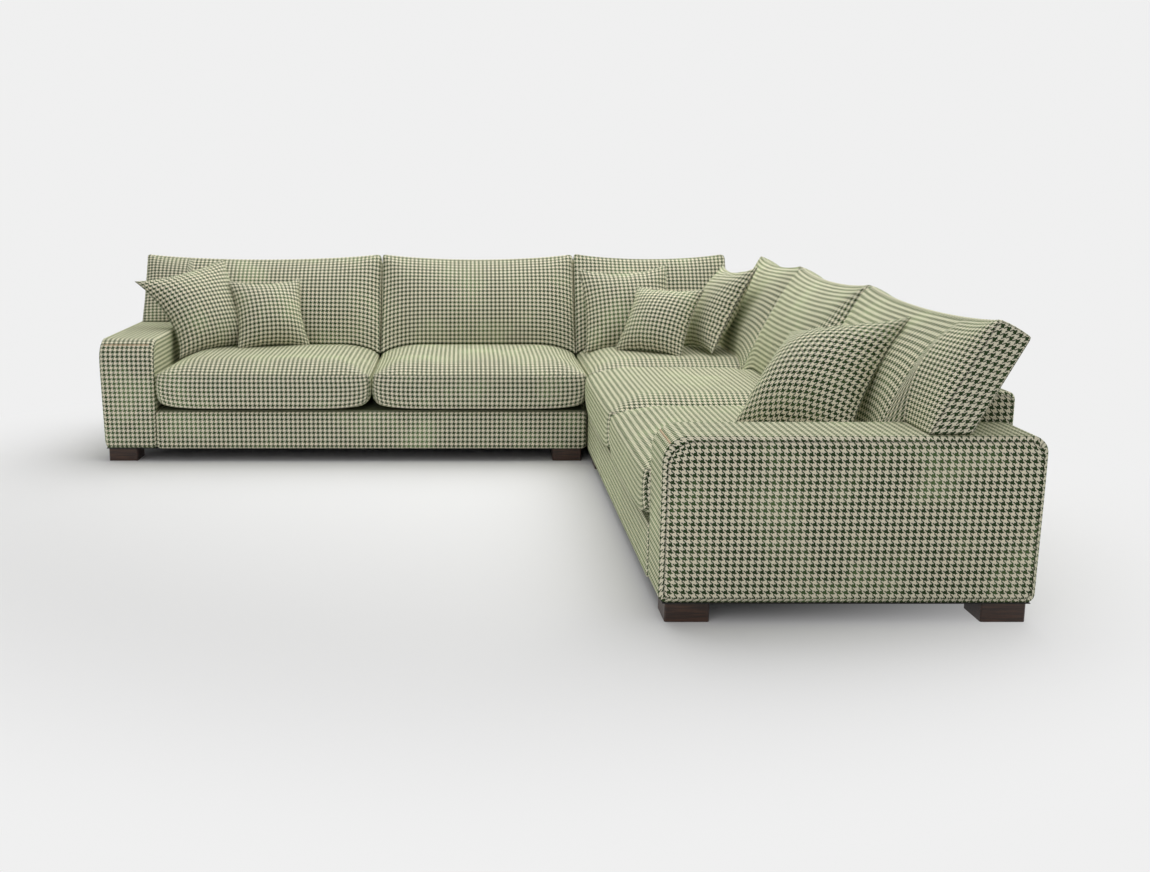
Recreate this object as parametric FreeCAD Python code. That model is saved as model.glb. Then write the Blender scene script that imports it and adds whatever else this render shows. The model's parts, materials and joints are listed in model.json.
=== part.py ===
import FreeCAD
import Part
import math
import os

# Corner sofa in three sections. Millimetres, +Z up, front of the left run towards -Y,
# front of the right run towards -X. It is modelled with the inner corner of the two runs
# at x = y = 0, and every node is moved at the end so that the origin is the middle of the floor area.

# Section sizes
seat_width = 940.0
arm_width = 235.0
depth = 1050.0
back_depth = 175.0
section_gap = 9.0
foot_height = 56.0
base_top = 225.0
arm_top = 533.0
back_top = 617.0

# Upholstery shells
dust_sheet = 2.0
base_wall = 15.0
arm_wall = 20.0
back_wall = 20.0
deck_thickness = 14.0
arm_flare = 8.0
arm_flare_end = 400.0
dust_inset = 12.0
arm_front_round = 75.0
arm_shoulder_round = 46.0
arm_corner_round = 22.0
base_edge_round = 14.0
back_edge_round = 25.0
back_end_round = 10.0

# Timber, straps and feet
timber = 45.0
board = 30.0
strap_width = 70.0
strap = 2.0
seat_strap_count = 9
seat_cross_strap_count = 5
back_strap_count = 4
back_upright_strap_count = 8
foot_size = 125.0
foot_inset = 20.0
foot_chamfer = 4.0
bolt_radius = 5.0
bolt_head_radius = 11.0
bolt_head = 7.0
bolt_recess = 14.0
bolt_bite = 38.0
bolt_play = 0.5
rod_sides = 6

# Hook plates that join the sections
plate = 2.0
plate_width = 46.0
hook_low = 96.0
hook_mouth = 150.0
hook_high = 192.0
hook_tongue = 24.0
hook_rise = 10.0
hook_floor = 4.0
hook_play = 1.0
hook_stations = (170.0, 700.0)
hook_screw_inset = 12.0
screw_radius = 2.2
screw_head_radius = 4.5
screw_head = 1.4
screw_length = 30.0

# Loose cushions
clearance = 0.5
side_gap = 1.5
seat_top = 431.0
seat_front_proud = 10.0
seat_seam_low = 24.0
seat_seam_high = 159.0
seat_swell = 6.0
seat_round = 36.0
seat_roll = 24.0
seat_crown_inset = 150.0
seat_rear_share = 0.3
seat_front_bow = 8.0
back_cushion_top = 855.0
back_cushion_drop = 330.0
back_lean = 28.0
back_boxing = 100.0
back_seam_low = 22.0
back_roll = 20.0
back_swell = 3.0
back_crown = 60.0
back_crown_inset = 150.0
back_round = 20.0
back_dip = 24.0
back_side_pull = 5.0
ear_reach = 20.0
arm_play = 4.0
corner_cushion_stop = 130.0
corner_slack = 0.4
crown_steps = 3
crown_power = 2.1
pillow_play = 1.0
pillow_clear = 36.0
large_pillow = 432.0
small_pillow = 352.0
pillow_half = 72.0
pillow_pull = 0.055
pillow_power = 0.7
pillow_seam = 2.0
pillow_steps = 6
settle_steps = 4

# Scatter cushions: shift from the arm or from the corner's seam, then turn, backward tilt and roll in degrees
by_left_arm_stand = (-84.0, 38.0, 29.0, 4.0)
left_stand = (204.0, 22.0, 28.0, 0.0)
corner_rear_stand = (19.0, 0.0, 28.0, 3.0)
corner_front_stand = (134.0, -38.0, 34.0, 0.0)
corner_side_stand = (189.0, -8.0, 28.0, -3.0)
by_right_arm_stand = (134.0, -38.0, 41.0, -6.0)

run = 2 * seat_width + arm_width
inner = depth - back_depth
edge = section_gap / 2
cover_low = foot_height + dust_sheet
lean = math.radians(back_lean)
to_middle = (run - depth) / 2

# Where a back cushion's rear plane leans on the rounded top edge of the back
edge_y = inner + back_edge_round
edge_z = back_top - back_edge_round
rest = back_edge_round + clearance
rear_y = edge_y - rest * math.cos(lean)
rear_z = edge_z + rest * math.sin(lean)
top_along_lean = (back_cushion_top - rear_z - back_boxing * math.sin(lean)) / math.cos(lean)

# Where the back cushions' crowns end, measured square to their lean
crown_plane = rear_y * math.cos(lean) - rear_z * math.sin(lean) - back_boxing - back_crown

# Heights and places that several pieces share
seat_rest = seat_top + clearance
rail_top = base_top - deck_thickness - 2 * strap
arm_face = -run + arm_width
seat_rear = inner - side_gap


# Basic shapes

def v(x, y, z=0.0):
    return FreeCAD.Vector(x, y, z)


def box(x0, x1, y0, y1, z0, z1):
    return Part.makeBox(x1 - x0, y1 - y0, z1 - z0, v(x0, y0, z0))


def rod(start, along, radius):
    """A bolt, screw or hole with few flat sides, since there are many of them."""
    side = v(0, radius, 0)
    turn = FreeCAD.Rotation(along, 360.0 / rod_sides)
    corners = [start + side]
    for i in range(rod_sides):
        side = turn.multVec(side)
        corners.append(start + side)
    return Part.Face(Part.makePolygon(corners)).extrude(along)


def upright_rod(x, y, z0, z1, radius):
    return rod(v(x, y, z0), v(0, 0, z1 - z0), radius)


def group(solids):
    return Part.makeCompound(list(solids))


def flat(a, b):
    return v(a, b, 0.0)


def rounded_profile(corners, radii, place, along):
    """A prism over a polygon with rounded corners; place turns its two coordinates into a point."""
    edges = []
    count = len(corners)
    starts = []
    ends = []
    middles = []
    for i in range(count):
        here = v(*corners[i])
        before = v(*corners[i - 1]) - here
        after = v(*corners[(i + 1) % count]) - here
        half = before.getAngle(after) / 2
        before.normalize()
        after.normalize()
        cut = radii[i] / math.tan(half)
        middle = before + after
        middle.normalize()
        starts.append(here + before * cut)
        ends.append(here + after * cut)
        middles.append(here + middle * (radii[i] / math.sin(half) - radii[i]))
    for i in range(count):
        if radii[i] > 0:
            points = [place(p.x, p.y) for p in (starts[i], middles[i], ends[i])]
            edges.append(Part.Arc(*points).toShape())
        begin = place(ends[i].x, ends[i].y)
        finish = place(starts[(i + 1) % count].x, starts[(i + 1) % count].y)
        edges.append(Part.LineSegment(begin, finish).toShape())
    return Part.Face(Part.Wire(edges)).extrude(along)


def rounded_block(x0, x1, y0, y1, z0, z1, upright=0.0, side=None, front=None):
    """A block with its upright edges rounded, cut by a rounded side view and front view where given."""
    block = box(x0, x1, y0, y1, z0, z1)
    if upright:
        corners = [(x0, y0), (x1, y0), (x1, y1), (x0, y1)]
        block = rounded_profile(corners, [upright] * 4, flat, v(0, 0, z1))
    if side:
        corners = [(y0, z0), (y1, z0), (y1, z1), (y0, z1)]
        block = block.common(rounded_profile(corners, side, lambda a, b: v(x0, a, b), v(x1 - x0, 0, 0)))
    if front:
        corners, radii = front
        block = block.common(rounded_profile(corners, radii, lambda a, b: v(a, y0, b), v(0, y1 - y0, 0)))
    return block


def behind_diagonal(shift):
    """A large prism that holds the half of space behind the plane where the two runs meet."""
    corners = [(-depth, -depth + shift), (2 * depth, 2 * depth + shift), (-depth, 2 * depth)]
    return rounded_profile(corners, [0.0] * 3, flat, v(0, 0, 2 * depth))


def ring(x0, x1, y0, y1, radius, bows, level):
    """A closed outline of four bowed sides, counted from the front, with corner arcs where there is a radius."""
    slip = radius * corner_slack
    stops = [
        (v(x0 + radius, y0), v(x1 - radius, y0), v(0, -1), v(x1 - slip, y0 + slip)),
        (v(x1, y0 + radius), v(x1, y1 - radius), v(1, 0), v(x1 - slip, y1 - slip)),
        (v(x1 - radius, y1), v(x0 + radius, y1), v(0, 1), v(x0 + slip, y1 - slip)),
        (v(x0, y1 - radius), v(x0, y0 + radius), v(-1, 0), v(x0 + slip, y0 + slip)),
    ]
    up = v(0, 0, level)
    edges = []
    for i, (begin, finish, outward, turn) in enumerate(stops):
        if bows[i]:
            middle = (begin + finish) * 0.5 + outward * bows[i]
            edges.append(Part.Arc(begin + up, middle + up, finish + up).toShape())
        else:
            edges.append(Part.LineSegment(begin + up, finish + up).toShape())
        if radius:
            edges.append(Part.Arc(finish + up, turn + up, stops[(i + 1) % 4][0] + up).toShape())
    return Part.Wire(edges)


def dome(height, inset):
    """Steps of a crown: how far in and how far up each outline lies, from the seam to the flat middle."""
    steps = [k / crown_steps for k in range(1, crown_steps + 1)]
    return [(inset * t, height * (1 - (1 - t) ** crown_power), t) for t in steps]


def skin(rings):
    return Part.makeLoft(rings, True, True)


# Timber frames

def flat_frame(x0, x1, y0, y1, z0, z1):
    """Front and rear rails with two end rails and a middle rail between them."""
    rails = [box(x0, x1, y0, y0 + timber, z0, z1), box(x0, x1, y1 - timber, y1, z0, z1)]
    for start in (x0, (x0 + x1 - timber) / 2, x1 - timber):
        rails.append(box(start, start + timber, y0 + timber, y1 - timber, z0, z1))
    return rails


def upright_ribs(x0, x1, y0, y1, z0, z1, ribs):
    """A box frame of a bottom board, a top board and ribs between them."""
    boards = [box(x0, x1, y0, y1, z0, z0 + board), box(x0, x1, y0, y1, z1 - board, z1)]
    step = (x1 - x0 - board) / (ribs - 1)
    for i in range(ribs):
        start = x0 + i * step
        boards.append(box(start, start + board, y0, y1, z0 + board, z1 - board))
    return boards


def base_frame(x0, x1, y0):
    return flat_frame(x0 + base_wall, x1 - base_wall, y0 + base_wall, inner - base_wall, cover_low, rail_top)


def back_frame(x0, x1, ribs):
    front = inner + back_wall + 2 * strap
    return upright_ribs(x0, x1, front, depth - back_wall, cover_low, back_top - back_wall, ribs)


def arm_frame(x0, x1):
    """Four posts between a long rail above and one below, from front to rear."""
    x0 += arm_wall
    x1 -= arm_wall
    low = cover_low
    high = arm_top - arm_wall
    y0 = arm_wall
    y1 = depth - arm_wall
    rails = [box(x0, x1, y0, y1, low, low + timber), box(x0, x1, y0, y1, high - timber, high)]
    step = (y1 - y0 - timber) / 3
    for i in range(4):
        start = y0 + i * step
        rails.append(box(x0, x1, start, start + timber, low + timber, high - timber))
    return rails


def spread(low, high, count, width):
    """Start of each of a number of equal strips shared out over a length."""
    free = (high - low - count * width) / (count + 1)
    return [low + free + i * (width + free) for i in range(count)]


def seat_webbing(x0, x1, y0):
    """Straps from front to rear, with the long straps laid over them."""
    x0 += base_wall
    x1 -= base_wall
    y0 += base_wall
    y1 = inner - base_wall
    across = max(2, round(seat_strap_count * (x1 - x0) / (2 * seat_width)))
    straps = []
    for start in spread(x0, x1, across, strap_width):
        straps.append(box(start, start + strap_width, y0, y1, rail_top, rail_top + strap))
    for start in spread(y0, y1, seat_cross_strap_count, strap_width):
        straps.append(box(x0, x1, start, start + strap_width, rail_top + strap, rail_top + 2 * strap))
    return group(straps)


def back_webbing(x0, x1):
    """Upright straps on the ribs, with the long straps laid over them."""
    low = base_top
    high = back_top - back_wall
    face = inner + back_wall
    up = max(2, round(back_upright_strap_count * (x1 - x0) / (2 * seat_width)))
    straps = []
    for start in spread(x0, x1, up, strap_width):
        straps.append(box(start, start + strap_width, face + strap, face + 2 * strap, cover_low, high))
    for start in spread(low, high, back_strap_count, strap_width):
        straps.append(box(x0, x1, face, face + strap, start, start + strap_width))
    return group(straps)


# Upholstered shells

def base_cover(x0, x1, y0):
    """A padded band round the base frame, rounded along its top front edge."""
    side = [0.0, 0.0, 0.0, base_edge_round]
    band = rounded_block(x0, x1, y0, inner, cover_low, base_top, side=side)
    hollow = box(x0 + base_wall, x1 - base_wall, y0 + base_wall, inner - base_wall, cover_low, base_top)
    return band.cut(hollow)


def arm_cover(x0, x1):
    """The arm's shell, open underneath, with a rounded front, soft shoulders and a slight outward flare."""
    side = [arm_corner_round, arm_corner_round, arm_shoulder_round, arm_front_round]
    front = (
        [(x0 + arm_flare, cover_low), (x1, cover_low), (x1, arm_top), (x0, arm_top), (x0, arm_flare_end)],
        [arm_corner_round, 0.0, arm_shoulder_round, arm_shoulder_round, 0.0],
    )
    shell = rounded_block(x0, x1, 0.0, depth, cover_low, arm_top, arm_corner_round, side, front)
    hollow = box(x0 + arm_wall, x1 - arm_wall, arm_wall, depth - arm_wall, cover_low, arm_top - arm_wall)
    return shell.cut(hollow)


def back_cover(x0, x1):
    """The back's shell, open underneath, rounded along its top edges and at its free ends."""
    side = [0.0, arm_corner_round, back_edge_round, back_edge_round]
    front = (
        [(x0, cover_low), (x1, cover_low), (x1, back_top), (x0, back_top)],
        [0.0, 0.0, back_end_round, back_end_round],
    )
    shell = rounded_block(x0, x1, inner, depth, cover_low, back_top, 0.0, side, front)
    hollow = box(x0 + base_wall, x1 - base_wall, inner + back_wall, depth - back_wall,
                 cover_low, back_top - back_wall)
    return shell.cut(hollow)


def mitred_back_cover():
    """The corner section's rear back shell, rounded at the outer corner and cut along the diagonal."""
    shell = back_cover(edge, depth)
    corners = [(0.0, 0.0), (depth, 0.0), (depth, depth), (0.0, depth)]
    plan = rounded_profile(corners, [0.0, 0.0, back_edge_round, 0.0], flat, v(0, 0, depth))
    return shell.common(plan).common(behind_diagonal(0.0))


def deck(x0, x1, y0):
    y1 = inner - base_wall
    return box(x0 + base_wall, x1 - base_wall, y0 + base_wall, y1, base_top - deck_thickness, base_top)


# Feet, bolts and the sheet under the frame

def foot_centres(x0, x1, y0):
    """Middles of the four feet under one section."""
    reach = foot_inset + foot_size / 2
    return [(x, y) for x in (x0 + reach, x1 - reach) for y in (y0 + reach, depth - reach)]


def foot(x, y):
    """A block with chamfered corners, a hole for its bolt and a recess for the bolt's head."""
    half = foot_size / 2
    block = box(x - half, x + half, y - half, y + half, 0.0, foot_height)
    block = block.makeChamfer(foot_chamfer, [e for e in block.Edges if e.BoundBox.ZLength > half / 2])
    recess = upright_rod(x, y, 0.0, bolt_recess, bolt_head_radius + 4 * bolt_play)
    hole = upright_rod(x, y, 0.0, foot_height, bolt_radius + bolt_play)
    return block.cut(recess).cut(hole)


def foot_bolt(x, y):
    head = upright_rod(x, y, bolt_recess - bolt_head, bolt_recess, bolt_head_radius)
    return head.fuse(upright_rod(x, y, bolt_recess, cover_low + bolt_bite, bolt_radius))


def bolt_holes(centres):
    return group(upright_rod(x, y, foot_height, cover_low + bolt_bite, bolt_radius) for x, y in centres)


def dust_cover(x0, x1, y0, centres):
    """A thin sheet under the frame, with a hole for each foot bolt."""
    y1 = depth - dust_inset
    sheet = box(x0 + dust_inset, x1 - dust_inset, y0 + dust_inset, y1, foot_height, cover_low)
    return sheet.cut(bolt_holes(centres))


def foot_blocks(centres, neighbours):
    """Timber blocks that take the foot bolts where no rail lies over a foot."""
    half = foot_size / 2 - timber / 2
    blocks = []
    for x, y in centres:
        block = box(x - half, x + half, y - half, y + half, cover_low, cover_low + timber)
        blocks += block.cut(neighbours).Solids
    return blocks


# Hook plates: a tongue on the side sections drops into a pocket on the corner section

def bent_plate(outline, middle):
    """A strip bent along a line in the X-Z plane, centred on a place along Y."""
    place = lambda a, b: v(a, middle - plate_width / 2, b)
    return rounded_profile(outline, [0.0] * len(outline), place, v(0, plate_width, 0))


def tongue_plate(middle):
    """Flange on the side section's end, stepped over to a tongue that points down."""
    near = -edge
    far = edge - plate - hook_play
    step = hook_mouth + hook_rise
    outline = [
        (near, hook_high), (near, step), (far, step), (far, hook_mouth - hook_tongue),
        (far + plate, hook_mouth - hook_tongue), (far + plate, step + plate),
        (near + plate, step + plate), (near + plate, hook_high),
    ]
    return bent_plate(outline, middle)


def pocket_plate(middle):
    """Flange on the corner section's end, stepped out to a pocket that is open at the top."""
    near = edge
    far = edge - plate - 1.5 * hook_play
    step = hook_mouth - hook_tongue - hook_floor
    outline = [
        (near, hook_low), (near, step), (far, step), (far, hook_mouth),
        (far - plate, hook_mouth), (far - plate, step - plate),
        (near - plate, step - plate), (near - plate, hook_low),
    ]
    return bent_plate(outline, middle)


def plate_screw(middle, level, face, direction):
    """A screw through a flange: direction is the way its shank points along X."""
    start = v(face, middle, level)
    head = rod(start, v(-direction * screw_head, 0, 0), screw_head_radius)
    return head.fuse(rod(start, v(direction * screw_length, 0, 0), screw_radius))


# Loose cushions

def seat_cushion(x0, x1, y0, bow, right_share=1.0):
    """A boxed seat cushion: rolled underside, swelling border and a crowned top with a flat middle.

    The crown starts close to the edges that a back cushion stands on, which the shares say.
    """
    low = base_top + clearance
    middle = (seat_seam_low + seat_seam_high) / 2
    rows = [(0.0, seat_roll, 0.0), (seat_seam_low, seat_swell, 0.0)]
    rows += [(middle, 0.0, 0.0), (seat_seam_high, seat_swell, 0.0)]
    rise = seat_top - low - seat_seam_high
    for inward, up, t in dome(rise, seat_crown_inset):
        rows.append((seat_seam_high + up, seat_swell + inward, t))
    rings = []
    for up, inward, t in rows:
        rear = seat_swell + (inward - seat_swell) * seat_rear_share
        right = seat_swell + (inward - seat_swell) * right_share
        bows = [0.0 if t else bow, 0.0, 0.0, 0.0]
        rings.append(ring(x0 + inward, x1 - right, y0 + inward, seat_rear - rear, seat_round, bows, low + up))
    return skin(rings)


def back_cushion_solid(x0, x1, corner_round):
    """A back cushion in its own plane: x along the run, y up the lean, z towards the sitter."""
    middle = (back_seam_low + back_boxing) / 2
    rows = [(0.0, back_roll, 0.0), (back_seam_low, back_swell, 0.0)]
    rows += [(middle, 0.0, 0.0), (back_boxing, back_swell, 0.0)]
    for inward, up, t in dome(back_crown, back_crown_inset):
        rows.append((back_boxing + up, back_swell + inward, t))
    low = -back_cushion_drop
    high = top_along_lean
    rings = []
    for up, inward, t in rows:
        pull = 0.0 if t else -back_side_pull
        bows = [0.0, pull, -back_dip * (1 - t), pull]
        rings.append(ring(x0 + inward, x1 - inward, low + inward, high - inward, corner_round, bows, up))
    return skin(rings)


def lean_back(solid):
    """Stands a back cushion up against the back, then levels it where it sits on the seat cushion."""
    up = v(0, math.sin(lean), math.cos(lean))
    out = v(0, -math.cos(lean), math.sin(lean))
    turn = FreeCAD.Rotation(v(1, 0, 0), up, out, "ZYX")
    solid.Placement = FreeCAD.Placement(v(0, rear_y, rear_z), turn)
    under = box(-2 * run, 2 * run, -depth, 2 * depth, -depth, seat_rest)
    return solid.cut(under)


def plain_back_cushion(x0, x1):
    return lean_back(back_cushion_solid(x0, x1, back_round))


def end_back_cushion():
    """The outer back cushion, whose ear reaches over the arm and is notched round it."""
    wide = lean_back(back_cushion_solid(-run + ear_reach, -seat_width - side_gap, back_round))
    notch = box(-2 * run, arm_face + arm_play, -depth, 2 * depth, -depth, arm_top + arm_play)
    return wide.cut(notch)


def corner_back_cushion():
    """One of the two back cushions that meet in the corner, trimmed along the diagonal."""
    whole = lean_back(back_cushion_solid(side_gap, inner - corner_cushion_stop, 3 * back_round))
    return whole.common(behind_diagonal(clearance))


def pillow(size):
    """A scatter cushion: lens-shaped sections from side to side, drawn in along all four seams."""
    reach = size / 2
    pull = size * pillow_pull
    sections = []
    for k in range(-pillow_steps, pillow_steps + 1):
        t = math.sin(math.pi / 2 * k / pillow_steps)
        side = reach - pull * (1 - t * t)
        middle = t * reach - pull * t * abs(t)
        high = v(middle, 0, pillow_half * (1 - t * t) ** pillow_power)
        low = v(middle, 0, -high.z)
        if k == -pillow_steps:
            low = v(middle + pillow_seam, 0)
        if k == pillow_steps:
            high = v(middle - pillow_seam, 0)
        begin = v(t * reach, -side)
        finish = v(t * reach, side)
        sections.append(Part.Wire([Part.Arc(begin, high, finish).toShape(), Part.Arc(finish, low, begin).toShape()]))
    return skin(sections)


def lay_pillow(size, seat, start, stand, stand_off=pillow_play):
    """Stands a scatter cushion on a seat cushion of the left run or the corner, in front of the back cushions.

    Stand shifts it from the start along the run, then turns, tilts and rolls it. Stand_off is its distance from
    the plane where the back cushions' crowns end. It slides down that plane until it almost touches the seat.
    """
    shift, yaw, tilt, roll = stand
    x = start + large_pillow / 2 + shift
    solid = pillow(size)
    turn = FreeCAD.Rotation(v(0, 0, 1), yaw)
    turn = turn.multiply(FreeCAD.Rotation(v(1, 0, 0), 90.0 - tilt))
    turn = turn.multiply(FreeCAD.Rotation(v(0, 0, 1), roll))
    solid.Placement = FreeCAD.Placement(v(x, 0, 0), turn)
    solid.translate(v(0, 0, seat_rest - solid.optimalBoundingBox(False).ZMin))
    upright = solid.copy()
    upright.rotate(v(0, 0, 0), v(1, 0, 0), back_lean)
    behind = crown_plane - stand_off - upright.optimalBoundingBox(False).YMax
    solid.translate(v(0, behind / math.cos(lean), 0))
    for i in range(settle_steps):
        gap = solid.distToShape(seat)[0] - clearance
        solid.translate(v(0, -math.sin(lean), -math.cos(lean)) * gap)
    return solid


# Sections

def mirrored(shape):
    """The right run is the left run mirrored across the diagonal."""
    return shape.mirror(v(0, 0, 0), v(1, -1, 0))


def link_screws(level, face, direction):
    return [plate_screw(station, level, face, direction) for station in hook_stations]


def side_section():
    """Fixed pieces of the left run, from the arm's outer face to the corner section."""
    x0 = arm_face
    x1 = -edge
    feet = foot_centres(-run, x1, 0.0)
    holes = bolt_holes(feet)
    screws = link_screws(hook_high - hook_screw_inset, -edge + plate, -1)
    base = base_frame(x0, x1, 0.0)
    arm = arm_frame(-run, arm_face)
    back = back_frame(x0 + base_wall, x1 - base_wall, 5)
    covers = [base_cover(x0, x1, 0.0), arm_cover(-run, arm_face), back_cover(x0, x1)]
    blocks = foot_blocks(feet, group(base + arm + back + covers))
    return {
        "base_frame": group(s.cut(group(screws)).cut(holes) for s in base + blocks),
        "arm_frame": group(s.cut(holes) for s in arm),
        "back_frame": group(s.cut(holes) for s in back),
        "seat_webbing": seat_webbing(x0, x1, 0.0),
        "back_webbing": back_webbing(x0 + base_wall, x1 - base_wall),
        "base_cover": covers[0].cut(group(screws)),
        "arm_cover": covers[1],
        "back_cover": covers[2],
        "deck": deck(x0, x1, 0.0),
        "dust_cover": dust_cover(-run, x1, 0.0, feet),
        "feet": group(foot(x, y) for x, y in feet),
        "foot_bolts": group(foot_bolt(x, y) for x, y in feet),
        "link_plates": group(tongue_plate(y).cut(group(screws)) for y in hook_stations),
        "link_screws": group(screws),
    }


def corner_section():
    """Fixed pieces of the corner, alike on both sides of the diagonal."""
    feet = foot_centres(edge, depth, edge)
    holes = bolt_holes(feet)
    half = link_screws(hook_low + hook_screw_inset, edge - plate, 1)
    screws = half + [mirrored(s) for s in half]
    pockets = [pocket_plate(y) for y in hook_stations]
    pockets += [mirrored(p) for p in pockets]
    base = base_frame(edge, inner, edge)
    rear_frame = back_frame(edge + base_wall, depth - back_wall, 3)
    side_frame = back_frame(edge + base_wall, inner + back_wall + 2 * strap, 3)
    back = rear_frame + [mirrored(b) for b in side_frame]
    straps = back_webbing(edge + base_wall, inner + back_wall)
    base_band = base_cover(edge, inner, edge)
    rear_cover = mitred_back_cover()
    side_cover = mirrored(rear_cover)
    blocks = foot_blocks(feet, group(base + back + [base_band, rear_cover, side_cover]))
    return {
        "base_frame": group(s.cut(group(screws)).cut(holes) for s in base + blocks),
        "back_frame": group(s.cut(holes) for s in back),
        "seat_webbing": seat_webbing(edge, inner, edge),
        "back_webbing": group(straps.Solids + mirrored(straps).Solids),
        "base_cover": base_band.cut(group(screws)),
        "rear_back_cover": rear_cover,
        "side_back_cover": side_cover,
        "deck": deck(edge, inner, edge),
        "dust_cover": dust_cover(edge, depth, edge, feet),
        "feet": group(foot(x, y) for x, y in feet),
        "foot_bolts": group(foot_bolt(x, y) for x, y in feet),
        "link_pockets": group(p.cut(group(screws)) for p in pockets),
        "link_screws": group(screws),
    }


def run_cushions():
    """Seat and back cushions of the left run."""
    middle = -seat_width
    return {
        "end_seat_cushion": seat_cushion(arm_face + side_gap, middle - side_gap, -seat_front_proud, seat_front_bow),
        "inner_seat_cushion": seat_cushion(middle + side_gap, -side_gap, -seat_front_proud, seat_front_bow),
        "end_back_cushion": end_back_cushion(),
        "inner_back_cushion": plain_back_cushion(middle + side_gap, -side_gap),
    }


def scatter_cushions(end, corner):
    """Two by the left arm, three in the corner, where the small one stands in front, and one by the right arm."""
    front_of_rear = 2 * pillow_half + pillow_clear
    side = lay_pillow(large_pillow, corner, 0.0, corner_side_stand)
    by_right_arm = lay_pillow(large_pillow, end, arm_face, by_right_arm_stand)
    return {
        "scatter_cushion_by_left_arm": lay_pillow(large_pillow, end, arm_face, by_left_arm_stand),
        "scatter_cushion_left": lay_pillow(small_pillow, end, arm_face, left_stand),
        "scatter_cushion_corner_rear": lay_pillow(large_pillow, corner, 0.0, corner_rear_stand),
        "scatter_cushion_corner_front": lay_pillow(small_pillow, corner, 0.0, corner_front_stand, front_of_rear),
        "scatter_cushion_corner_side": mirrored(side),
        "scatter_cushion_by_right_arm": mirrored(by_right_arm),
    }


def all_nodes():
    nodes = {}
    side = side_section()
    loose = run_cushions()
    side.update(loose)
    for name, shape in side.items():
        nodes["left_" + name] = shape
        nodes["right_" + name] = mirrored(shape)
    for name, shape in corner_section().items():
        nodes["corner_" + name] = shape
    rear = corner_back_cushion()
    corner_seat = seat_cushion(side_gap, seat_rear, side_gap, 0.0, seat_rear_share)
    nodes["corner_seat_cushion"] = corner_seat
    nodes["corner_rear_back_cushion"] = rear
    nodes["corner_side_back_cushion"] = mirrored(rear)
    nodes.update(scatter_cushions(loose["end_seat_cushion"], corner_seat))
    return nodes


os.makedirs("parts", exist_ok=True)
for name, shape in all_nodes().items():
    shape.translate(v(to_middle, to_middle, 0))
    shape.exportStep("parts/" + name + ".step")
    print(name, len(shape.Solids), round(shape.Volume / 1e6, 2))
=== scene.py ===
import bmesh
import bpy
import math
import numpy as np
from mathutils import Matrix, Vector, noise
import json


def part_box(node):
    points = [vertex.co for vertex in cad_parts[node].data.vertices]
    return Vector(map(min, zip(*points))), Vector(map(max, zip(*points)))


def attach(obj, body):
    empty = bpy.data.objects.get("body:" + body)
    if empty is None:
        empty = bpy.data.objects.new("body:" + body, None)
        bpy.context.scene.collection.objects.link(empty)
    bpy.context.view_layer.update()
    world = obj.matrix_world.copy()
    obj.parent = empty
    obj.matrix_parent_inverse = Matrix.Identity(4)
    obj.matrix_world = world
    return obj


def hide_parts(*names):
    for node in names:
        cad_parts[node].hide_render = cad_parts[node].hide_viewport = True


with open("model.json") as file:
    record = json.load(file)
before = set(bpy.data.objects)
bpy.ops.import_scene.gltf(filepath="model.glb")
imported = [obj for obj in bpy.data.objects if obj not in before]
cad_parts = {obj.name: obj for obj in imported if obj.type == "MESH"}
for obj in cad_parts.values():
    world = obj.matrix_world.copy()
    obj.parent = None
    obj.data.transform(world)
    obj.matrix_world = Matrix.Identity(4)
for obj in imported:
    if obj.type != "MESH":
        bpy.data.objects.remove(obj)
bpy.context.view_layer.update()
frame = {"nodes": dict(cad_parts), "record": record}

# Corner sofa in metres. The left run goes along X and faces -Y, the right run goes along Y and faces -X.
# A right-run piece is built as its left-run twin and then has X and Y exchanged.

# Camera
CAMERA_PLACE = (-0.0137, -5.0453, 1.2253)
CAMERA_PITCH = 11.265
IMAGE_WIDTH = 1150
FOCAL_PIXELS = 1304.2
CENTRE_COLUMN = 462.2
SENSOR = 36.0

# Cloth
REPEAT = 0.0197
THREADS = 8
CREAM = (0.84, 0.79, 0.62)
GREEN = (0.031, 0.058, 0.021)
PALE = (0.20, 0.31, 0.12)
SHEEN = (0.62, 0.78, 0.34)
SHEEN_WEIGHT = 0.35
CREAM_LIFT = 1.06
PATCH_SCALE = 5.0
PATCH_RANGE = (0.46, 0.74)
PATCH_SHARE = 0.55
SEAM_SHADE = (0.0008, 0.0040)
FUZZ_SCALE = 900.0
WEAVE_HEIGHT = 0.25

# Other surfaces
GRAIN_STRETCH = (4.0, 40.0, 60.0)
STRAP_WEAVE = 2000.0

# Upholstered shells
PLAIN_ROUND = 0.004
PANEL_BULGE = 0.003
ARM_FRONT_ROUND = 0.075
ARM_TOP_REAR_ROUND = 0.046
ARM_LOW_ROUND = 0.022
ARM_SHOULDER = 0.014
ARM_FLARE = 0.008
ARM_FLARE_END = 0.40
BASE_ROUND = 0.014
BASE_END = 0.006
DECK_SINK = 0.004
BACK_ROUND = 0.025
BACK_END = 0.010

# Studio
FLOOR = (0.87, 0.87, 0.88)
BACKDROP = (0.87, 0.87, 0.87)
FADE = (1.5, 2.9)
DAYLIGHT = 0.40
FLOOR_FRONT = -9.0
FLOOR_HALF_WIDTH = 12.0
CURVE_START = 4.0
CURVE_RADIUS = 3.0
CURVE_STEPS = 16
WALL_TOP = 8.0

# Loose cushions
PLAY = 0.0015
FILL_PRESSURE = 4.0
FILL_STEPS = 20
SEAT_PUFF = 0.010
BACK_PUFF = 0.014
PILLOW_PUFF = 0.018

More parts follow.
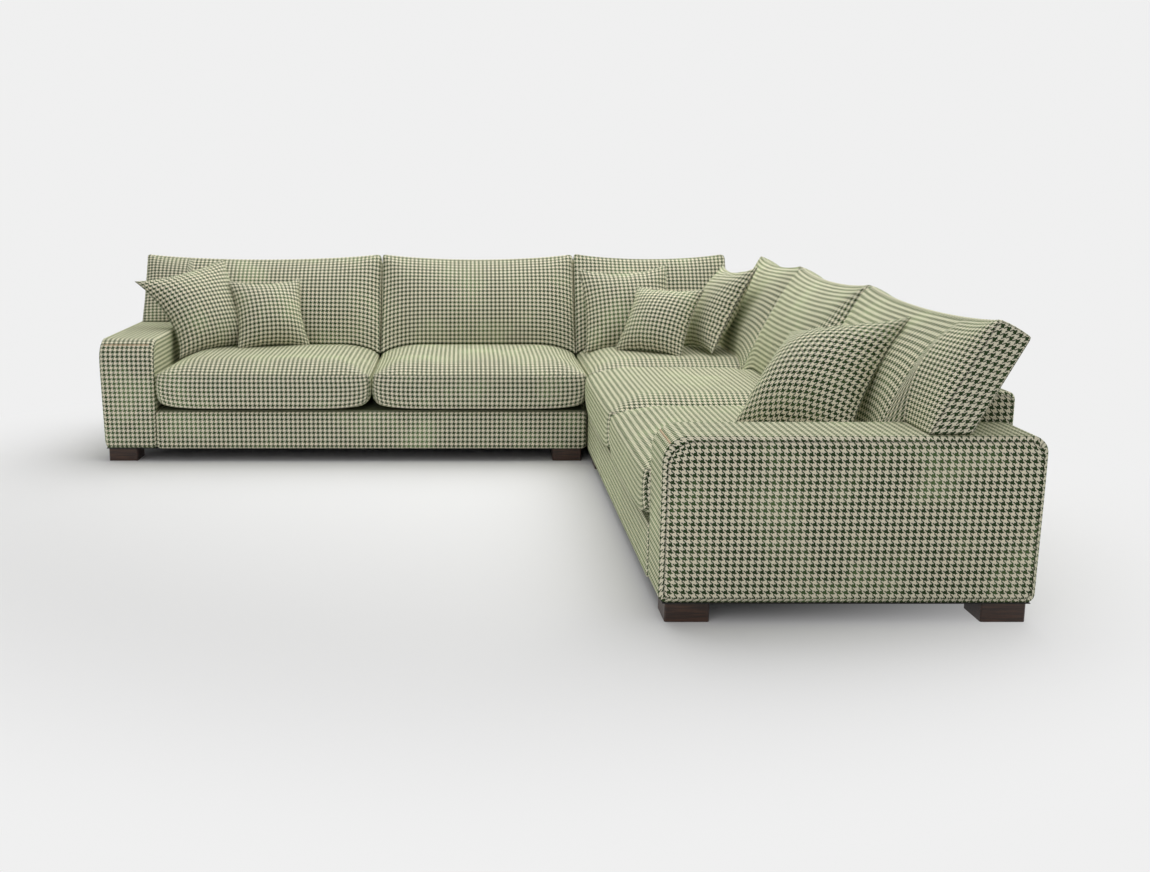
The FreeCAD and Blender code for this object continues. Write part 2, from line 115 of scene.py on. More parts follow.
# Seat cushions
SEAT_BORDER = 0.159
SEAT_FALL = 0.42
REAR_SHARE = 0.22
SEAT_SWELL = 0.007
SEAT_REAR_INSET = 0.004
SEAT_CORNER = 0.036
SEAT_ROLL = 0.012
SEAT_CORNER_ROLL = 0.036

# Back cushions
BACK_LEAN = math.radians(28)
BACK_REST = 0.0005
BACK_BOXING = 0.100
BACK_CROWN = 0.060
BACK_DROP = 0.330
BACK_DIP = 0.030
BACK_PULL = 0.001
BACK_TOP_SWELL = 0.004
BACK_FOOT_ROUND = 0.004
BACK_INNER_ROUND = 0.030
BACK_OUTER_ROUND = 0.020
RIPPLE_SIZE = 0.16
RIPPLE_DEPTH = 0.006
FOOT_STEPS = 4
ARM_PLAY = 0.004
EAR_STEP = 0.012
CORNER_REACH = 0.020
CORNER_MITRE = 0.002

# Scatter cushions
PILLOW_REAR = 0.064
PILLOW_FULLNESS = 0.62
PILLOW_EDGE = 0.001
FOLD_REACH = 0.28
FOLD_PACE = 17
FOLD_DEPTH = 0.0050
TIP_APART = 0.2


# Shapes on a cube: every sewn piece is a cube whose six sides are its panels

ON_PANEL = 0.999
cubes = {}


def spacing(count):
    """Even steps from -1 to 1 that get closer towards both ends."""
    t = np.linspace(-1.0, 1.0, count + 1)
    return t * (1.25 - 0.25 * t * t)


def travel(points):
    """Length walked along a row of points, counted from its start."""
    steps = np.linalg.norm(np.diff(points, axis=0), axis=1)
    return np.concatenate([[0.0], np.cumsum(steps)])


def add_object(name, data):
    thing = bpy.data.objects.new(name, data)
    bpy.context.scene.collection.objects.link(thing)
    return thing


def turn_outwards(mesh):
    """Turns every face outwards and shades it smooth."""
    work = bmesh.new()
    work.from_mesh(mesh)
    bmesh.ops.recalc_face_normals(work, faces=work.faces)
    for face in work.faces:
        face.smooth = True
    work.to_mesh(mesh)
    work.free()


def sewn_box(name, counts, shape, mirror=False, open_low=False):
    """A closed piece of six panels: shape turns cube coordinates into points.

    The map "cloth" holds lengths along the cloth, the map "seam" how far the panel's edges are,
    without the lower edge of upright panels where open_low is set.
    """
    lines = [spacing(n) for n in counts]
    places = {}
    cube = []
    faces = []
    cloth = []
    seam = []
    for fixed in range(3):
        first, second = [k for k in range(3) if k != fixed]
        for sign in (-1.0, 1.0):
            a, b = np.meshgrid(lines[first], lines[second], indexing="ij")
            grid = np.zeros(a.shape + (3,))
            grid[..., fixed] = sign
            grid[..., first] = a
            grid[..., second] = b
            points = shape(grid.reshape(-1, 3)).reshape(grid.shape)
            rows, columns = a.shape
            u = travel(points[:, columns // 2])
            w = travel(points[rows // 2, :])
            ids = np.zeros(a.shape, int)
            for i in range(rows):
                for j in range(columns):
                    key = tuple(np.round(grid[i, j], 5))
                    if key not in places:
                        places[key] = len(cube)
                        cube.append(grid[i, j])
                    ids[i, j] = places[key]
            u_map = u - u[rows // 2]
            w_map = w - w[-1] if fixed < 2 else w
            u_edge = np.minimum(u, u[-1] - u)
            w_edge = w[-1] - w if open_low and fixed < 2 else np.minimum(w, w[-1] - w)
            for i in range(rows - 1):
                for j in range(columns - 1):
                    corners = [(i, j), (i + 1, j), (i + 1, j + 1), (i, j + 1)]
                    if len({ids[c] for c in corners}) < 4:
                        continue
                    faces.append([ids[c] for c in corners])
                    cloth += [(u_map[p], w_map[q]) for p, q in corners]
                    seam += [(u_edge[p], w_edge[q]) for p, q in corners]
    points = shape(np.array(cube))
    if mirror:
        points = points[:, [1, 0, 2]]
        cloth = [(-u, w) for u, w in cloth]
    mesh = bpy.data.meshes.new(name)
    mesh.from_pydata(points.tolist(), [], faces)
    for label, values in (("cloth", cloth), ("seam", seam)):
        layer = mesh.uv_layers.new(name=label)
        layer.data.foreach_set("uv", np.array(values, np.float32).ravel())
    piece = add_object(name, mesh)
    turn_outwards(mesh)
    cubes[name] = np.array(cube)
    return piece


def rounded_plan(b, c, low, high, radii):
    """Square coordinates b and c as a rectangle with four rounded corners.

    low and high are its corners, and radii are for (low, low), (high, low), (high, high), (low, high).
    """
    y = low[0] + (high[0] - low[0]) * (b + 1) / 2
    z = low[1] + (high[1] - low[1]) * (c + 1) / 2
    for k, (side_y, side_z) in enumerate(((-1, -1), (1, -1), (1, 1), (-1, 1))):
        radius = radii[k]
        corner_y = high[0] if side_y > 0 else low[0]
        corner_z = high[1] if side_z > 0 else low[1]
        u = (y - (corner_y - side_y * radius)) * side_y / radius
        w = (z - (corner_z - side_z * radius)) * side_z / radius
        inside = (u > 0) & (w > 0)
        u = np.clip(u, 0, 1)
        w = np.clip(w, 0, 1)
        round_y = corner_y - side_y * radius + side_y * radius * u * np.sqrt(1 - w * w / 2)
        round_z = corner_z - side_z * radius + side_z * radius * w * np.sqrt(1 - u * u / 2)
        y = np.where(inside, round_y, y)
        z = np.where(inside, round_z, z)
    return y, z


def ripple(points, size, depth, seed):
    """Soft unevenness of a filled piece, as one small step per point."""
    shift = Vector((seed * 7.3, seed * 3.1, seed * 5.7))
    return np.array([noise.noise(Vector(p) / size + shift) for p in points]) * depth


def points_of(piece):
    return np.array([v.co for v in piece.data.vertices])


def puff(piece, cap, free):
    """Lets the filling press the cloth out where free says so, by no more than the cap."""
    scene = bpy.context.scene
    start = points_of(piece)
    held = np.flatnonzero(~free(cubes[piece.name]))
    piece.vertex_groups.new(name="held").add(held.tolist(), 1.0, "REPLACE")
    cloth = piece.modifiers.new("cloth", "CLOTH")
    cloth.settings.use_pressure = True
    cloth.settings.uniform_pressure_force = FILL_PRESSURE
    cloth.settings.effector_weights.gravity = 0.0
    cloth.settings.vertex_group_mass = "held"
    for step in range(1, FILL_STEPS + 1):
        scene.frame_set(step)
    pressed = piece.evaluated_get(bpy.context.evaluated_depsgraph_get())
    moved = np.array([v.co for v in pressed.data.vertices]) - start
    piece.modifiers.remove(cloth)
    scene.frame_set(1)
    length = np.maximum(np.linalg.norm(moved, axis=1), 1e-9)
    moved *= np.minimum(1, cap / length)[:, None]
    piece.data.vertices.foreach_set("co", (start + moved).astype(np.float32).ravel())
    piece.data.update()


# Upholstered shells

def shell_shape(low, high, radii, end_round, flare, mitred, sink):
    """A band with a rounded side view, swept along X, and softened where it meets its end panels."""
    def shape(cube):
        a, b, c = cube.T
        half = (high[0] - low[0]) / 2
        x = a * half
        beyond = np.clip(np.abs(x) - (half - end_round), 0, end_round)
        inset = end_round - np.sqrt(np.maximum(end_round ** 2 - beyond ** 2, 0))
        y, z = rounded_plan(b, c, (low[1] + inset, low[2] + inset),
                            (high[1] - inset, high[2] - inset), radii)
        bulge = PANEL_BULGE * np.sign(x) * (np.abs(a) > ON_PANEL) * (1 - b ** 4) * (1 - c ** 4)
        x = x + (low[0] + high[0]) / 2 + bulge
        fall = np.clip((ARM_FLARE_END - z) / (ARM_FLARE_END - low[2]), 0, 1)
        x = x + flare * fall * (a < 0) * -a
        if mitred:
            x = np.minimum(x, y - PLAY)
        z = z - sink * (c > ON_PANEL) * (np.abs(a) < 0.97) * (np.abs(b) < 0.97)
        return np.stack([x, y, z], axis=1)
    return shape


def dress(piece, node, slot):
    """Gives a sewn piece its cloth and puts it on the body of the node that it replaces."""
    piece.data.materials.append(cloths[slot])
    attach(piece, bodies[node])
    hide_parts(node)


# Materials

class Nodes:
    """Short names for building a node tree."""

    def __init__(self, name):
        self.material = bpy.data.materials.new(name)
        self.material.use_nodes = True
        self.tree = self.material.node_tree
        self.shader = self.tree.nodes["Principled BSDF"]

    def add(self, kind, **settings):
        node = self.tree.nodes.new(kind)
        for key, value in settings.items():
            setattr(node, key, value)
        return node

    def link(self, source, target):
        self.tree.links.new(source, target)

    def fill(self, socket, value):
        if isinstance(value, bpy.types.NodeSocket):
            self.link(value, socket)
        else:
            socket.default_value = value

    def math(self, operation, a, b=0.0, c=0.0):
        node = self.add("ShaderNodeMath", operation=operation)
        for socket, value in zip(node.inputs, (a, b, c)):
            self.fill(socket, value)
        return node.outputs[0]

    def mix(self, share, first, second, blend="MIX"):
        node = self.add("ShaderNodeMix", data_type="RGBA", blend_type=blend)
        self.fill(node.inputs[0], share)
        self.fill(node.inputs[6], first)
        self.fill(node.inputs[7], second)
        return node.outputs[2]

    def noise(self, vector, scale, detail=2.0, rough=0.5):
        node = self.add("ShaderNodeTexNoise")
        self.link(vector, node.inputs["Vector"])
        node.inputs["Scale"].default_value = scale
        node.inputs["Detail"].default_value = detail
        node.inputs["Roughness"].default_value = rough
        return node.outputs["Fac"]

    def spread(self, value, low, high, to_low=0.0, to_high=1.0):
        node = self.add("ShaderNodeMapRange", interpolation_type="SMOOTHSTEP")
        for socket, number in zip(node.inputs, (value, low, high, to_low, to_high)):
            self.fill(socket, number)
        return node.outputs[0]

    def place(self):
        return self.add("ShaderNodeTexCoord").outputs["Object"]

    def bump(self, height, distance, strength=1.0):
        node = self.add("ShaderNodeBump")
        node.inputs["Strength"].default_value = strength
        node.inputs["Distance"].default_value = distance
        self.link(height, node.inputs["Height"])
        self.link(node.outputs["Normal"], self.shader.inputs["Normal"])


def colour(rgb):
    return (*rgb, 1.0)


def houndstooth(n, u, w):
    """One where dark yarn shows: four dark and four light threads, woven over two, under two."""
    thread = REPEAT / THREADS
    i = n.math("FLOOR", n.math("DIVIDE", u, thread))
    j = n.math("FLOOR", n.math("DIVIDE", w, thread))
    warp_dark = n.math("LESS_THAN", n.math("FLOORED_MODULO", i, THREADS), THREADS / 2 - 0.5)
    weft_dark = n.math("LESS_THAN", n.math("FLOORED_MODULO", j, THREADS), THREADS / 2 - 0.5)
    twill = n.math("FLOORED_MODULO", n.math("SUBTRACT", i, j), THREADS / 2)
    warp_up = n.math("LESS_THAN", twill, THREADS / 4 - 0.5)
    return n.math("ADD", n.math("MULTIPLY", warp_up, warp_dark),
                  n.math("MULTIPLY", n.math("SUBTRACT", 1.0, warp_up), weft_dark))


def cloth_material(name):
    n = Nodes(name)
    cloth = n.add("ShaderNodeUVMap", uv_map="cloth")
    axes = n.add("ShaderNodeSeparateXYZ")
    n.link(cloth.outputs["UV"], axes.inputs[0])
    u, w = axes.outputs[0], axes.outputs[1]
    dark = houndstooth(n, u, w)
    place = n.place()
    patch = n.spread(n.noise(place, PATCH_SCALE, 4.0, 0.55), *PATCH_RANGE, 0.0, PATCH_SHARE)
    cream = n.mix(patch, colour(CREAM), colour([k * CREAM_LIFT for k in CREAM]))
    green = n.mix(patch, colour(GREEN), colour(PALE))
    base = n.mix(dark, cream, green)
    edges = n.add("ShaderNodeSeparateXYZ")
    n.link(n.add("ShaderNodeUVMap", uv_map="seam").outputs["UV"], edges.inputs[0])
    edge = n.math("MINIMUM", edges.outputs[0], edges.outputs[1])
    seam = n.spread(edge, *SEAM_SHADE)
    base = n.mix(seam, n.mix(0.5, base, colour([0.0, 0.0, 0.0])), base)
    n.link(base, n.shader.inputs["Base Color"])
    thread = 2 * math.pi * THREADS / REPEAT
    weave = n.math("ADD", n.math("SINE", n.math("MULTIPLY", u, thread)),
                   n.math("SINE", n.math("MULTIPLY", w, thread)))
    fuzz = n.noise(place, FUZZ_SCALE)
    height = n.math("ADD", n.math("MULTIPLY", weave, WEAVE_HEIGHT), fuzz)
    n.bump(height, 0.0004, 0.5)
    n.shader.inputs["Roughness"].default_value = 0.92
    n.shader.inputs["Specular IOR Level"].default_value = 0.15
    n.shader.inputs["Sheen Weight"].default_value = SHEEN_WEIGHT
    n.shader.inputs["Sheen Roughness"].default_value = 0.45
    n.shader.inputs["Sheen Tint"].default_value = colour(SHEEN)
    return n.material


def wood_material(name, dark, light, scale, roughness):
    n = Nodes(name)
    place = n.place()
    stretch = n.add("ShaderNodeMapping")
    n.link(place, stretch.inputs["Vector"])
    stretch.inputs["Scale"].default_value = GRAIN_STRETCH
    grain = n.noise(stretch.outputs["Vector"], scale, 5.0, 0.65)
    shade = n.mix(n.spread(grain, 0.35, 0.7), colour(dark), colour(light))
    n.link(shade, n.shader.inputs["Base Color"])
    n.bump(grain, 0.0004, 0.4)
    n.shader.inputs["Roughness"].default_value = roughness
    return n.material


def plain_cloth(name, dark, light):
    n = Nodes(name)
    place = n.place()
    fibres = n.noise(place, 400.0, 3.0, 0.7)
    shade = n.mix(n.spread(fibres, 0.3, 0.7), colour(dark), colour(light))
    n.link(shade, n.shader.inputs["Base Color"])
    n.bump(fibres, 0.0004, 0.5)
    n.shader.inputs["Roughness"].default_value = 0.95
    return n.material


def strap_material(name):
    n = Nodes(name)
    place = n.place()
    axes = n.add("ShaderNodeSeparateXYZ")
    n.link(place, axes.inputs[0])
    across = n.math("SINE", n.math("MULTIPLY", axes.outputs[0], STRAP_WEAVE))
    along = n.math("SINE", n.math("MULTIPLY", axes.outputs[1], STRAP_WEAVE))
    weave = n.math("MULTIPLY", across, along)
    shade = n.mix(n.spread(weave, -1.0, 1.0), colour((0.25, 0.18, 0.10)), colour((0.42, 0.33, 0.21)))
    n.link(shade, n.shader.inputs["Base Color"])
    n.bump(weave, 0.0005, 0.6)
    n.shader.inputs["Roughness"].default_value = 0.9
    return n.material


def steel_material(name):
    n = Nodes(name)
    streaks = n.noise(n.place(), 300.0, 4.0, 0.6)
    shade = n.mix(streaks, colour((0.42, 0.42, 0.44)), colour((0.62, 0.62, 0.64)))
    n.link(shade, n.shader.inputs["Base Color"])
    n.link(n.spread(streaks, 0.3, 0.7, 0.28, 0.45), n.shader.inputs["Roughness"])
    n.shader.inputs["Metallic"].default_value = 1.0
    return n.material


cloths = {
    "cover_fabric": cloth_material("cover_fabric"),
    "cushion_fabric": cloth_material("cushion_fabric"),
}
finishes = {
    "dark_wood": wood_material("dark_wood", (0.022, 0.010, 0.006), (0.075, 0.033, 0.018), 3.0, 0.38),
    "frame_timber": wood_material("frame_timber", (0.42, 0.29, 0.16), (0.64, 0.48, 0.30), 2.0, 0.7),
    "platform_cloth": plain_cloth("platform_cloth", (0.14, 0.16, 0.09), (0.22, 0.25, 0.15)),
    "dust_sheet": plain_cloth("dust_sheet", (0.010, 0.010, 0.010), (0.035, 0.035, 0.035)),
    "webbing": strap_material("webbing"),
    "steel": steel_material("steel"),
}

slots = {part["node"]: part["material_slot"] for part in frame["record"]["subparts"]}
bodies = {}
for body, members in frame["record"]["behaviour"]["bodies"].items():
    for node in members:
        bodies[node] = body

for node, thing in frame["nodes"].items():
    finish = finishes.get(slots[node])
    if finish:
        thing.data.materials.clear()
        thing.data.materials.append(finish)


# Shells of arms, bases and backs

def left_run_box(node):
    """The box of a node's left-run twin, and whether the node itself lies on the right run."""
    low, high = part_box(node)
    mirror = node.startswith("right_") or "_side_" in node
    if mirror:
        low, high = Vector((low.y, low.x, low.z)), Vector((high.y, high.x, high.z))
    return low, high, mirror


def add_shell(node, counts, radii, end_round, flare=0.0, sink=0.0):
    low, high, mirror = left_run_box(node)
    mitred = node in ("corner_rear_back_cover", "corner_side_back_cover")
    shape = shell_shape(low, high, radii, end_round, flare, mitred, sink)
    piece = sewn_box(node + "_cloth", counts, shape, mirror, True)
    dress(piece, node, "cover_fabric")


ARM_RADII = (ARM_LOW_ROUND, ARM_LOW_ROUND, ARM_TOP_REAR_ROUND, ARM_FRONT_ROUND)
BASE_RADII = (PLAIN_ROUND, PLAIN_ROUND, PLAIN_ROUND, BASE_ROUND)
BACK_RADII = (PLAIN_ROUND, ARM_LOW_ROUND, BACK_ROUND, BACK_ROUND)
for side in ("left_", "right_"):
    add_shell(side + "arm_cover", (16, 56, 26), ARM_RADII, ARM_SHOULDER, ARM_FLARE)
    add_shell(side + "base_cover", (60, 8, 12), BASE_RADII, BASE_END, sink=DECK_SINK)
    add_shell(side + "back_cover", (60, 12, 26), BACK_RADII, BACK_END)
add_shell("corner_base_cover", (24, 24, 12), BASE_RADII, BASE_END, sink=DECK_SINK)
add_shell("corner_rear_back_cover", (40, 12, 26), BACK_RADII, BACK_END)
add_shell("corner_side_back_cover", (40, 12, 26), BACK_RADII, BACK_END)


# Seat cushions

def seat_crown(a, b, share_right):
    """How far the crown has risen at a place on a seat: 0 at the seam, 1 on the level middle."""
    def fall(t, share):
        near = np.clip((1 - np.abs(t)) / (SEAT_FALL * share), 0, 1)
        return 1 - (1 - near) ** 2.2

    a = np.clip(a, -1, 1)
    b = np.clip(b, -1, 1)
    left = fall(np.minimum(a, 0), 1.0)
    right = fall(np.maximum(a, 0), share_right)
    front = fall(np.minimum(b, 0), 1.0)
    rear = fall(np.maximum(b, 0), REAR_SHARE)
    return (left * right * front * rear) ** 0.8


def seat_shape(low, high, share_right):
    """A boxed seat: soft underside, bowed border, and a crown that rises from the seam to a level middle."""
    def shape(cube):
        a, b, c = cube.T
        swell = SEAT_SWELL * (1 - np.clip(c, -1, 1) ** 2)
        x, y = rounded_plan(a, b, (low[0] + SEAT_SWELL - swell, low[1] + SEAT_SWELL - swell),
                            (high[0] - SEAT_SWELL + swell, high[1] - SEAT_REAR_INSET + swell),
                            (SEAT_CORNER,) * 4)
        y = y - SEAT_SWELL * (1 - a * a) * (b < 0) * -b
        crown = seat_crown(a, b, share_right)
        seam = low[2] + SEAT_BORDER
        roll = SEAT_ROLL + SEAT_CORNER_ROLL * np.abs(a) ** 8
        z = low[2] + roll + (SEAT_BORDER - roll) * (c + 1) / 2
        z = np.where(c > ON_PANEL, seam + (high[2] - seam) * crown, z)
        z = np.where(c < -ON_PANEL, low[2] + roll * np.maximum(np.abs(a), np.abs(b)) ** 6, z)
        y = np.maximum(y, low[1])
        return np.stack([x, y, z], axis=1)
    return shape


def seat_side(node):
    return REAR_SHARE if node.startswith("corner_") else 1.0


def add_seat(node):
    low, high, mirror = left_run_box(node)
    piece = sewn_box(node + "_cloth", (34, 32, 10), seat_shape(low, high, seat_side(node)), mirror)
    puff(piece, SEAT_PUFF, lambda cube: (cube[:, 2] > ON_PANEL) & (cube[:, 1] < 0.4))
    dress(piece, node, "cushion_fabric")


SEATS = [side + kind for side in ("left_", "right_") for kind in ("end_seat_cushion", "inner_seat_cushion")]
SEATS.append("corner_seat_cushion")
for node in SEATS:
    add_seat(node)


# Back cushions

back_low, back_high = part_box("left_back_cover")
REST = BACK_ROUND + BACK_REST
REAR_Y = back_low.y + BACK_ROUND - REST * math.cos(BACK_LEAN)
REAR_Z = back_high.z - BACK_ROUND + REST * math.sin(BACK_LEAN)
ARM_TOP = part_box("left_arm_cover")[1].z + PLAY
ARM_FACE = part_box("left_arm_cover")[1].x + ARM_PLAY
CUSHION_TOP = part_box("left_inner_back_cushion")[1].z
TOP_ALONG = (CUSHION_TOP - REAR_Z - BACK_BOXING * math.sin(BACK_LEAN)) / math.cos(BACK_LEAN)


def seat_level(x, y):
    """Height of the seats of the left run and the corner under a place."""
    level = np.zeros_like(x)
    for node in ("left_end_seat_cushion", "left_inner_seat_cushion", "corner_seat_cushion"):
        low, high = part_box(node)
        a = (2 * x - low.x - high.x) / (high.x - low.x)
        b = (2 * y - low.y - high.y) / (high.y - low.y)
        seam = low.z + SEAT_BORDER
        over = np.abs(a) < 1.01
        level = np.where(over, seam + (high.z - seam) * seat_crown(a, b, seat_side(node)), level)
    return np.maximum(level, low.z + SEAT_BORDER) + PLAY


def back_shape(x0, x1, kind, seed):
    """A boxed back cushion that leans on the back's top edge and stands on the seats."""
    def shape(cube):
        a, b, c = cube.T
        pull = BACK_PULL * (1 - b * b)
        dip = BACK_DIP * (1 - a * a) ** 0.8
        w = BACK_BOXING * (c + 1) / 2
        x = x0 + (x1 - x0) * (a + 1) / 2
        foot = np.full_like(x, -BACK_DROP)
        for _ in range(FOOT_STEPS):
            y = REAR_Y + foot * math.sin(BACK_LEAN) - w * math.cos(BACK_LEAN)
            floor = seat_level(x, y)
            if kind == "end":
                floor = np.where(x < ARM_FACE + EAR_STEP, ARM_TOP, floor)
            foot = (floor - REAR_Z - w * math.sin(BACK_LEAN)) / math.cos(BACK_LEAN)
        x, s = rounded_plan(a, b, (x0, foot), (x1, TOP_ALONG),
                            (BACK_FOOT_ROUND, BACK_FOOT_ROUND, BACK_INNER_ROUND, BACK_OUTER_ROUND))
        x = x - a * pull
        s = s - dip * (b + 1) / 2
        crown = ((1 - np.abs(a) ** 2.3) * (1 - np.abs(b) ** 2.3)) ** 0.8
        s = s + BACK_TOP_SWELL * (1 - c * c) * (b > ON_PANEL)
        spots = np.stack([x, s, c * 0.05], axis=1)
        soft = ripple(spots, RIPPLE_SIZE, RIPPLE_DEPTH, seed) * np.minimum(1, 4 * crown)
        w = np.where(c > ON_PANEL, BACK_BOXING + BACK_CROWN * crown + soft - RIPPLE_DEPTH * crown, w)
        y = REAR_Y + s * math.sin(BACK_LEAN) - w * math.cos(BACK_LEAN)
        z = REAR_Z + s * math.cos(BACK_LEAN) + w * math.sin(BACK_LEAN)
        if kind == "corner":
            x = np.minimum(x, y - CORNER_MITRE)
        return np.stack([x, y, z], axis=1)
    return shape


def add_back(node, kind, seed):
    low, high, mirror = left_run_box(node)
    far_end = high.x + CORNER_REACH * (node == "corner_side_back_cushion")
    piece = sewn_box(node + "_cloth", (44, 34, 8), back_shape(low.x, far_end, kind, seed), mirror)
    puff(piece, BACK_PUFF, lambda cube: (cube[:, 2] > ON_PANEL) & (cube[:, 1] > -0.8))
    dress(piece, node, "cushion_fabric")


for k, side in enumerate(("left_", "right_")):
    add_back(side + "end_back_cushion", "end", 1 + k)
    add_back(side + "inner_back_cushion", "plain", 3 + k)
add_back("corner_rear_back_cushion", "corner", 5)
add_back("corner_side_back_cushion", "corner", 6)


# Scatter cushions

def scatter_frame(node):
    """Centre, two side directions, the way it faces and half its size, read from the solid's four tips."""
    points = points_of(frame["nodes"][node])
    centre = points.mean(axis=0)
    tips = []
    for _ in range(4):
        gaps = np.linalg.norm(points - centre, axis=1)
        for tip in tips:
            gaps = np.where(np.linalg.norm(points - tip, axis=1) < TIP_APART, 0, gaps)
        tips.append(points[np.argmax(gaps)])
    tips = np.array(tips)
    centre = tips.mean(axis=0)
    tips = tips[np.argsort(-tips[:, 2])]
    top = tips[:2]
    bottom = tips[2:]
    up = top.mean(axis=0) - bottom.mean(axis=0)
    facing = np.cross(top[1] - top[0], up)
    facing /= np.linalg.norm(facing)
    if facing[0] + facing[1] > 0:
        facing = -facing
    up /= np.linalg.norm(up)
    right = np.cross(up, facing)
    half = np.linalg.norm(tips - centre, axis=1).mean() / math.sqrt(2)
    return centre, right, up, facing, half


def pillow_shape(centre, right, up, facing, half, pulls, front, shifts, seed):
    """A filled square whose sides are drawn in between its tips, with short folds from the seams.

    Shifts move its upper left and upper right tips along its width and height.
    """
    left_pull, right_pull, low_pull, high_pull = pulls

    def folds(along, across):
        near = np.exp(-(1 - np.abs(across)) / FOLD_REACH)
        return near * np.cos(along * FOLD_PACE + seed * np.sign(across)) * (1 - along ** 2)

    def shape(cube):
        a, b, c = cube.T
        x = a * (1 - np.where(a > 0, right_pull, left_pull) * (1 - b * b) * np.abs(a))
        y = b * (1 - np.where(b > 0, high_pull, low_pull) * (1 - a * a) * np.abs(b))
        body = ((1 - a ** 2) * (1 - b ** 2)).clip(0, 1) ** PILLOW_FULLNESS
        thick = np.where(c > 0, front, PILLOW_REAR)
        crease = FOLD_DEPTH * (folds(a, b) + folds(b, a)) * np.minimum(1, 5 * body)
        z = (thick * body + PILLOW_EDGE) * c + np.where(c > 0, crease, 0)
        x = x * half
        y = y * half
        for side, (shift_x, shift_y) in zip((-1, 1), shifts):
            share = ((1 + side * a) * (1 + b) / 4) ** 1.1
            x = x + share * shift_x
            y = y + share * shift_y
        return centre + np.outer(x, right) + np.outer(y, up) + np.outer(z, facing)
    return shape


STILL = ((0.0, 0.0), (0.0, 0.0))
PILLOWS = {
    "scatter_cushion_by_left_arm": ((0.27, 0.10, 0.12, 0.10), 0.095, ((-0.085, -0.030), (-0.030, 0.030))),
    "scatter_cushion_left": ((0.14, 0.12, 0.10, 0.15), 0.085, STILL),
    "scatter_cushion_corner_rear": ((0.10, 0.10, 0.10, 0.20), 0.080, STILL),
    "scatter_cushion_corner_front": ((0.14, 0.10, 0.12, 0.13), 0.085, STILL),
    "scatter_cushion_corner_side": ((0.14, 0.12, 0.10, 0.18), 0.085, STILL),
    "scatter_cushion_by_right_arm": ((0.12, 0.12, 0.10, 0.13), 0.120, ((0.060, -0.040), (0.035, 0.015))),
}
for seed, (node, (pulls, front, shifts)) in enumerate(PILLOWS.items()):
    shape = pillow_shape(*scatter_frame(node), pulls, front, shifts, seed)
    piece = sewn_box(node + "_cloth", (46, 46, 1), shape)
    puff(piece, PILLOW_PUFF, lambda cube: cube[:, 2] > 0)
    dress(piece, node, "cushion_fabric")


# Floor, light and camera

def stage_material():
    """Plain pale floor that fades into an evenly pale backdrop, which only the camera and mirrors see."""
    n = Nodes("studio")
    n.shader.inputs["Base Color"].default_value = colour(FLOOR)
    n.shader.inputs["Roughness"].default_value = 0.9
    n.shader.inputs["Specular IOR Level"].default_value = 0.1
    glow = n.add("ShaderNodeEmission")
    glow.inputs["Color"].default_value = colour(BACKDROP)
    glow.inputs["Strength"].default_value = 1.0
    rays = n.add("ShaderNodeLightPath").outputs
    seen = n.math("MAXIMUM", rays["Is Camera Ray"], rays["Is Glossy Ray"])
    seen = n.math("MAXIMUM", seen, rays["Is Transmission Ray"])
    away = n.add("ShaderNodeVectorMath", operation="LENGTH")
    n.link(n.place(), away.inputs[0])
    far = n.spread(away.outputs["Value"], *FADE)
    blend = n.add("ShaderNodeMixShader")
    n.link(n.math("MULTIPLY", far, seen), blend.inputs[0])
    n.link(n.shader.outputs[0], blend.inputs[1])
    n.link(glow.outputs[0], blend.inputs[2])
    n.link(blend.outputs[0], n.tree.nodes["Material Output"].inputs["Surface"])
    return n.material


def studio():
    """A floor that rises in a wide curve behind the sofa."""
    profile = [(FLOOR_FRONT, 0.0), (CURVE_START, 0.0)]
    for k in range(1, CURVE_STEPS + 1):
        angle = math.pi / 2 * k / CURVE_STEPS
        along = CURVE_START + CURVE_RADIUS * math.sin(angle)
        profile.append((along, CURVE_RADIUS - CURVE_RADIUS * math.cos(angle)))
    profile.append((CURVE_START + CURVE_RADIUS, WALL_TOP))
    points = []
    faces = []
    for y, z in profile:
        points += [(-FLOOR_HALF_WIDTH, y, z), (FLOOR_HALF_WIDTH, y, z)]
    for k in range(len(profile) - 1):
        faces.append((2 * k, 2 * k + 1, 2 * k + 3, 2 * k + 2))
    mesh = bpy.data.meshes.new("studio")
    mesh.from_pydata(points, [], faces)
    for face in mesh.polygons:
        face.use_smooth = True
    floor = add_object("studio", mesh)
    mesh.materials.append(stage_material())


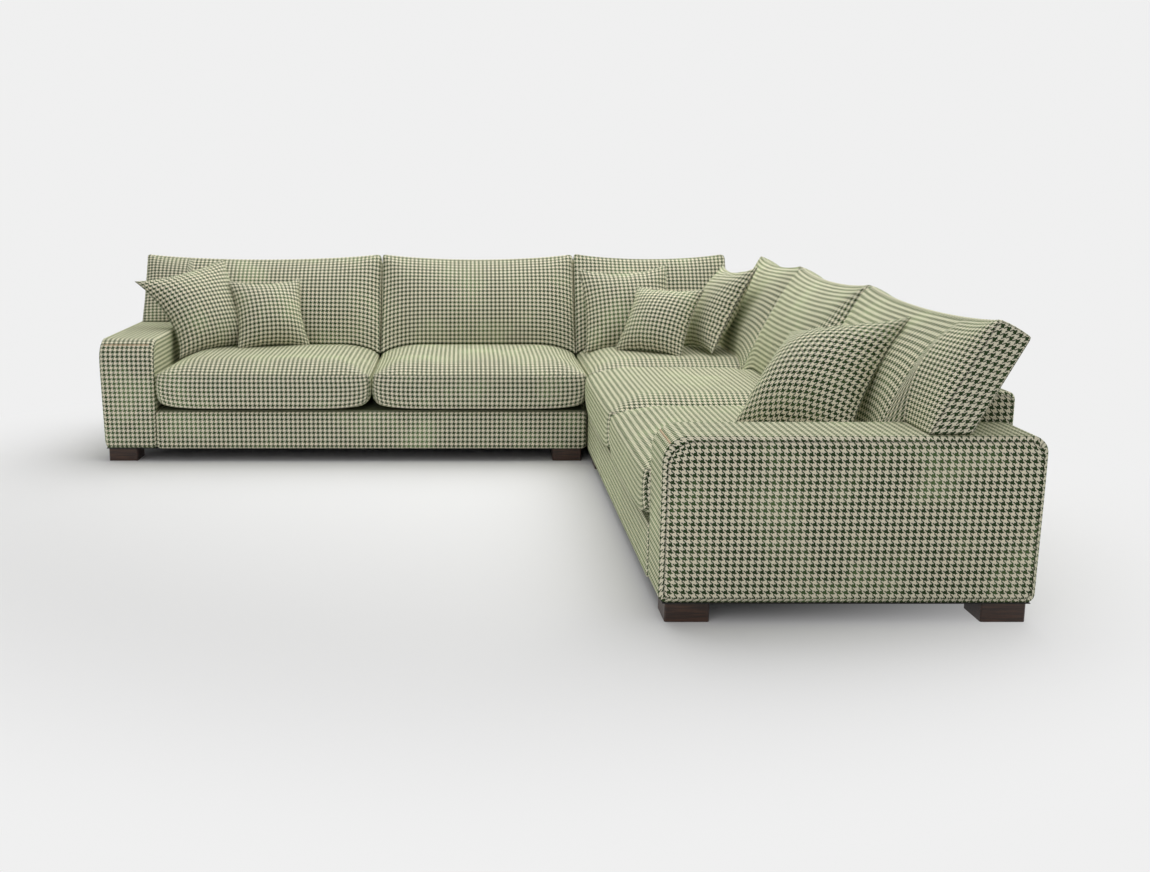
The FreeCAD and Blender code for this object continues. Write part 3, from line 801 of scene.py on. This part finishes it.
def area_light(name, place, target, size, power, tint):
    light = bpy.data.lights.new(name, "AREA")
    light.shape = "RECTANGLE"
    light.size, light.size_y = size
    light.energy = power
    light.color = tint
    lamp = add_object(name, light)
    lamp.location = place
    lamp.rotation_euler = (Vector(target) - Vector(place)).to_track_quat("-Z", "Y").to_euler()


def add_world():
    """Even daylight, with the backdrop's colour where the camera and mirrors see past the studio."""
    world = bpy.data.worlds.new("world")
    bpy.context.scene.world = world
    world.use_nodes = True
    sky = world.node_tree
    daylight = sky.nodes["Background"]
    daylight.inputs["Color"].default_value = (1.0, 1.0, 1.0, 1.0)
    daylight.inputs["Strength"].default_value = DAYLIGHT
    beyond = sky.nodes.new("ShaderNodeBackground")
    beyond.inputs["Color"].default_value = colour(BACKDROP)
    beyond.inputs["Strength"].default_value = 1.0
    rays = sky.nodes.new("ShaderNodeLightPath").outputs
    seen = rays["Is Camera Ray"]
    for kind in ("Is Glossy Ray", "Is Transmission Ray"):
        either = sky.nodes.new("ShaderNodeMath")
        either.operation = "MAXIMUM"
        sky.links.new(seen, either.inputs[0])
        sky.links.new(rays[kind], either.inputs[1])
        seen = either.outputs[0]
    choose = sky.nodes.new("ShaderNodeMixShader")
    sky.links.new(seen, choose.inputs[0])
    sky.links.new(daylight.outputs[0], choose.inputs[1])
    sky.links.new(beyond.outputs[0], choose.inputs[2])
    sky.links.new(choose.outputs[0], sky.nodes["World Output"].inputs["Surface"])


def add_camera():
    lens = bpy.data.cameras.new("camera")
    lens.sensor_width = SENSOR
    lens.lens = FOCAL_PIXELS * SENSOR / IMAGE_WIDTH
    lens.shift_x = (IMAGE_WIDTH / 2 - CENTRE_COLUMN) / IMAGE_WIDTH
    camera = add_object("camera", lens)
    camera.location = CAMERA_PLACE
    camera.rotation_euler = (math.radians(90 - CAMERA_PITCH), 0.0, 0.0)
    bpy.context.scene.camera = camera


studio()
area_light("overhead", place=(0.9, 1.8, 4.0), target=(0.1, 0.3, 0.0), size=(6.0, 6.0),
           power=215.0, tint=(1.0, 1.0, 0.97))
area_light("front", place=(-2.5, -6.5, 3.2), target=(0.0, 0.0, 0.3), size=(4.0, 3.0),
           power=40.0, tint=(1.0, 0.98, 0.97))
add_world()
add_camera()
bpy.context.scene.view_settings.view_transform = "Standard"
